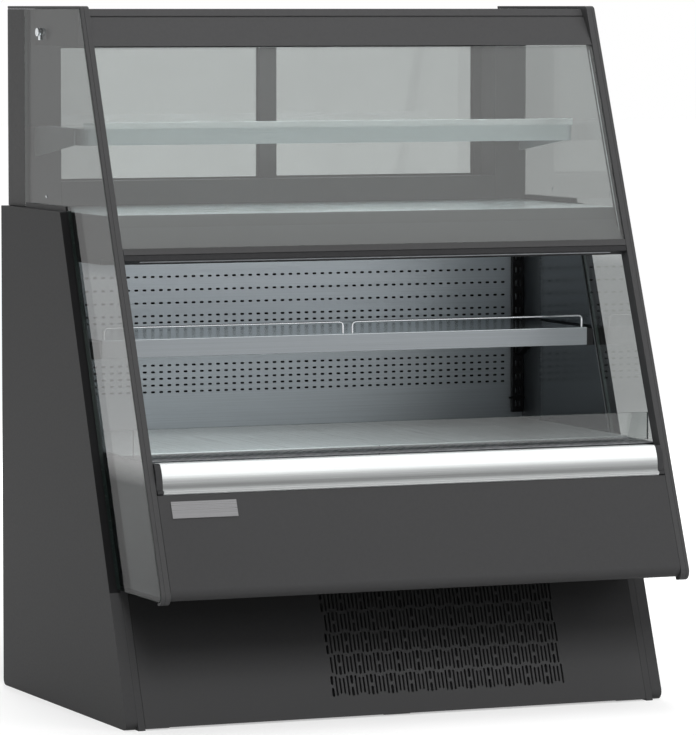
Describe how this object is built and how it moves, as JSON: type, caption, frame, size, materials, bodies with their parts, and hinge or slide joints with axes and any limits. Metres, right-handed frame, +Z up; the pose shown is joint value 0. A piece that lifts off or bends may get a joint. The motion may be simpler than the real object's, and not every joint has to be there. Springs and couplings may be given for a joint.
{
  "type": "open multideck display fridge",
  "caption": "Open-front refrigerated display cabinet: a cooled well under a lit canopy, a glazed display with a slanted front above, sliding glass doors at the rear and a louvred plinth.",
  "frame": {"origin": "on the floor, at the middle of the width and of the depth", "axes": "+X to the right of a viewer in front, +Y towards the rear, +Z up"},
  "size_m": [1.016, 0.778, 1.232],
  "materials": {
    "charcoal_paint": "satin charcoal powder coat",
    "graphite_trim": "satin graphite",
    "black_plastic": "matte black",
    "stainless": "brushed stainless steel",
    "liner_steel": "glossy dark sheet",
    "insulation": "grey skin over foam",
    "bright_rail": "bright rail",
    "clear_glass": "clear toughened glass",
    "lamp_cover": "translucent white cover",
    "copper_pipe": "drawn copper tube",
    "zinc_sheet": "dull zinc and aluminium sheet",
    "wire_chrome": "bright wire"
  },
  "bodies": {
    "cabinet": {"side_panel_left": "charcoal_paint", "side_panel_right": "charcoal_paint", "base_plate": "zinc_sheet", "kick_panel": "charcoal_paint", "rear_service_panel": "charcoal_paint", "insulated_tub": "insulation", "end_liner_left": "liner_steel", "end_liner_right": "liner_steel", "perforated_back_panel": "stainless", "deck_pan_left": "stainless", "deck_pan_right": "stainless", "return_air_grille": "zinc_sheet", "front_fascia": "charcoal_paint", "name_plate": "stainless", "bumper_rail": "bright_rail", "bumper_cap_left": "black_plastic", "bumper_cap_right": "black_plastic", "end_frame_left": "graphite_trim", "end_frame_right": "graphite_trim", "end_glass_left": "clear_glass", "end_glass_right": "clear_glass", "front_glass": "clear_glass", "mid_front_rail": "graphite_trim", "header_beam": "graphite_trim", "roof_pan": "graphite_trim", "rear_jamb_left": "graphite_trim", "rear_jamb_right": "graphite_trim", "rear_sill": "graphite_trim", "rear_door_head": "graphite_trim", "insulated_mid_deck": "graphite_trim", "air_discharge_grille": "black_plastic", "header_light": "lamp_cover", "canopy_light": "lamp_cover", "upper_shelf": "stainless", "upper_shelf_bracket_left": "stainless", "upper_shelf_bracket_right": "stainless", "lower_shelf": "stainless", "lower_shelf_bracket_left": "black_plastic", "lower_shelf_bracket_right": "black_plastic", "shelf_upright_left": "black_plastic", "shelf_upright_right": "black_plastic", "wire_guard_left": "wire_chrome", "wire_guard_right": "wire_chrome", "evaporator_coil": "zinc_sheet", "evaporator_fan_plenum": "zinc_sheet", "condenser_coil": "zinc_sheet", "condenser_fan_shroud": "zinc_sheet", "compressor": "black_plastic", "condensate_pan": "zinc_sheet", "suction_line": "copper_pipe", "discharge_line": "copper_pipe", "control_box": "zinc_sheet"},
    "door_left": {"door_left_frame": "graphite_trim", "door_left_glass": "clear_glass"},
    "door_right": {"door_right_frame": "graphite_trim", "door_right_glass": "clear_glass"},
    "condenser_fan": {"condenser_fan": "black_plastic"},
    "evaporator_fan_left": {"evaporator_fan_left": "black_plastic"},
    "evaporator_fan_right": {"evaporator_fan_right": "black_plastic"},
    "power_switch": {"power_switch": "black_plastic"}
  },
  "joints": [
    {"name": "door_left_slide", "type": "slide", "parent": "cabinet", "child": "door_left", "axis": [1, 0, 0], "range_m": [0, 0.4397]},
    {"name": "door_right_slide", "type": "slide", "parent": "cabinet", "child": "door_right", "axis": [-1, 0, 0], "range_m": [0, 0.4397]},
    {"name": "condenser_fan_spin", "type": "hinge", "parent": "cabinet", "child": "condenser_fan", "pos_m": [0.0716, -0.1, 0.1093], "axis": [0, 1, 0], "continuous": true},
    {"name": "evaporator_fan_left_spin", "type": "hinge", "parent": "cabinet", "child": "evaporator_fan_left", "pos_m": [-0.1524, -0.16, 0.3383], "axis": [0, 1, 0], "continuous": true},
    {"name": "evaporator_fan_right_spin", "type": "hinge", "parent": "cabinet", "child": "evaporator_fan_right", "pos_m": [0.1524, -0.16, 0.3383], "axis": [0, 1, 0], "continuous": true},
    {"name": "power_switch_rock", "type": "hinge", "parent": "cabinet", "child": "power_switch", "pos_m": [0.38, 0.3777, 0.1443], "axis": [1, 0, 0], "range_deg": [0, 16]}
  ]
}
